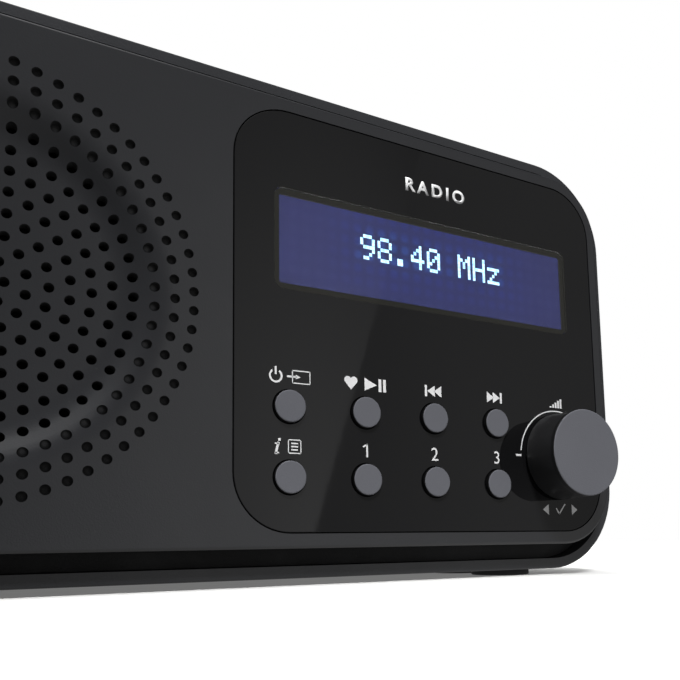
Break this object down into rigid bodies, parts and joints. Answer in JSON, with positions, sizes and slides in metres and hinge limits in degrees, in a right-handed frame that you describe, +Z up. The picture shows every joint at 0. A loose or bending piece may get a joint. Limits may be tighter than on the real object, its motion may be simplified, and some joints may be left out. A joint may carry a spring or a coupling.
{
  "type": "tabletop radio",
  "caption": "Compact tabletop radio with a dished loudspeaker grille, gloss control panel, display, push buttons, rotary knob and a folding telescopic aerial.",
  "frame": {"origin": "on the table under the middle of the whole object's box", "axes": "+X to the right across the front, +Y from front to back, +Z up"},
  "size_m": [0.2134, 0.0624, 0.1122],
  "materials": {
    "cover_plastic": "satin fine-grained black plastic",
    "frame_black": "matt black plastic",
    "shell_plastic": "satin fine-grained black plastic",
    "foot_rubber": "matt black rubber",
    "panel_gloss": "high-gloss black",
    "window_clear": "clear gloss",
    "bezel_dark": "matt dark grey",
    "lcd_blue": "blue backlit display cell",
    "tray_white": "white moulded plastic",
    "board_green": "solder-masked circuit board",
    "switch_black": "black moulded plastic",
    "knob_black": "satin black plastic",
    "button_grey": "satin mid-grey plastic",
    "basket_black": "black painted steel",
    "steel": "plated steel",
    "ferrite": "ferrite ceramic",
    "cone_paper": "black paper pulp",
    "copper": "enamelled copper wire",
    "spider_cloth": "resin-treated cloth",
    "surround_rubber": "black foam rubber",
    "grille_fabric": "black acoustic cloth",
    "capacitor_can": "sleeved aluminium can",
    "ribbon_grey": "grey ribbon cable",
    "wire_red": "red insulation",
    "wire_black": "black insulation",
    "tray_black": "matt black plastic",
    "nickel": "nickel-plated",
    "chrome": "bright chrome",
    "screw_zinc": "black zinc-plated steel"
  },
  "bodies": {
    "case": {"aerial_bush": "nickel", "aerial_lead": "wire_black", "battery_contacts": "nickel", "battery_tray": "tray_black", "capacitors": "capacitor_can", "case_screws": "screw_zinc", "control_board": "board_green", "control_board_screws": "screw_zinc", "control_panel": "panel_gloss", "display_bezel": "bezel_dark", "display_window": "window_clear", "encoder_body": "steel", "front_cover": "cover_plastic", "grille_cloth": "grille_fabric", "headphone_socket": "switch_black", "lcd_backlight": "tray_white", "lcd_cell": "lcd_blue", "main_board": "board_green", "main_board_screws": "screw_zinc", "mid_frame": "frame_black", "power_socket": "steel", "rear_shell": "shell_plastic", "ribbon_cable": "ribbon_grey", "rubber_feet": "foot_rubber", "socket_board": "board_green", "speaker_basket": "basket_black", "speaker_cone": "cone_paper", "speaker_dust_cap": "cone_paper", "speaker_gasket": "surround_rubber", "speaker_lead_negative": "wire_black", "speaker_lead_positive": "wire_red", "speaker_magnet": "ferrite", "speaker_screws": "screw_zinc", "speaker_spider": "spider_cloth", "speaker_surround": "surround_rubber", "speaker_top_plate": "steel", "speaker_yoke": "steel", "tact_switches": "switch_black", "tuner_shield": "steel", "voice_coil": "copper"},
    "button_power": {"button_power": "button_grey"},
    "button_favourite": {"button_favourite": "button_grey"},
    "button_previous": {"button_previous": "button_grey"},
    "button_next": {"button_next": "button_grey"},
    "button_info": {"button_info": "button_grey"},
    "button_preset_1": {"button_preset_1": "button_grey"},
    "button_preset_2": {"button_preset_2": "button_grey"},
    "button_preset_3": {"button_preset_3": "button_grey"},
    "encoder_turning": {"encoder_rotor": "switch_black"},
    "knob": {"encoder_shaft": "steel", "knob_body": "knob_black", "knob_face": "button_grey"},
    "battery_cover": {"battery_door": "shell_plastic"},
    "aerial_head": {"aerial_swivel": "chrome", "aerial_pivot_pin": "chrome"},
    "aerial_1": {"aerial_section_1": "chrome"},
    "aerial_2": {"aerial_section_2": "chrome"},
    "aerial_3": {"aerial_section_3": "chrome"},
    "aerial_4": {"aerial_section_4": "chrome", "aerial_tip": "chrome"}
  },
  "joints": [
    {"name": "button_power_press", "type": "slide", "parent": "case", "child": "button_power", "axis": [0, 1, 0], "range_m": [0, 0.0004], "stiffness_N_per_m": 900, "springref_m": -0.0004},
    {"name": "button_favourite_press", "type": "slide", "parent": "case", "child": "button_favourite", "axis": [0, 1, 0], "range_m": [0, 0.0004], "stiffness_N_per_m": 900, "springref_m": -0.0004},
    {"name": "button_previous_press", "type": "slide", "parent": "case", "child": "button_previous", "axis": [0, 1, 0], "range_m": [0, 0.0004], "stiffness_N_per_m": 900, "springref_m": -0.0004},
    {"name": "button_next_press", "type": "slide", "parent": "case", "child": "button_next", "axis": [0, 1, 0], "range_m": [0, 0.0004], "stiffness_N_per_m": 900, "springref_m": -0.0004},
    {"name": "button_info_press", "type": "slide", "parent": "case", "child": "button_info", "axis": [0, 1, 0], "range_m": [0, 0.0004], "stiffness_N_per_m": 900, "springref_m": -0.0004},
    {"name": "button_preset_1_press", "type": "slide", "parent": "case", "child": "button_preset_1", "axis": [0, 1, 0], "range_m": [0, 0.0004], "stiffness_N_per_m": 900, "springref_m": -0.0004},
    {"name": "button_preset_2_press", "type": "slide", "parent": "case", "child": "button_preset_2", "axis": [0, 1, 0], "range_m": [0, 0.0004], "stiffness_N_per_m": 900, "springref_m": -0.0004},
    {"name": "button_preset_3_press", "type": "slide", "parent": "case", "child": "button_preset_3", "axis": [0, 1, 0], "range_m": [0, 0.0004], "stiffness_N_per_m": 900, "springref_m": -0.0004},
    {"name": "knob_turn", "type": "hinge", "parent": "case", "child": "encoder_turning", "pos_m": [0.08285, 0, 0.0298], "axis": [0, -1, 0], "continuous": true},
    {"name": "knob_push", "type": "slide", "parent": "encoder_turning", "child": "knob", "axis": [0, 1, 0], "range_m": [0, 0.0005], "stiffness_N_per_m": 1200, "springref_m": -0.0005},
    {"name": "battery_door_hinge", "type": "hinge", "parent": "case", "child": "battery_cover", "pos_m": [0.0474, 0.0296, 0.0276], "axis": [-1, 0, 0], "range_deg": [0, 95]},
    {"name": "aerial_swivel", "type": "hinge", "parent": "case", "child": "aerial_head", "pos_m": [0.08265, 0.0256, 0.106], "axis": [0, 1, 0], "range_deg": [0, 180]},
    {"name": "aerial_tilt", "type": "hinge", "parent": "aerial_head", "child": "aerial_1", "pos_m": [0.08265, 0.0256, 0.106], "axis": [0, 0, -1], "range_deg": [0, 90]},
    {"name": "aerial_slide_2", "type": "slide", "parent": "aerial_1", "child": "aerial_2", "axis": [-1, 0, 0], "range_m": [0, 0.125]},
    {"name": "aerial_slide_3", "type": "slide", "parent": "aerial_2", "child": "aerial_3", "axis": [-1, 0, 0], "range_m": [0, 0.125]},
    {"name": "aerial_slide_4", "type": "slide", "parent": "aerial_3", "child": "aerial_4", "axis": [-1, 0, 0], "range_m": [0, 0.125]}
  ]
}
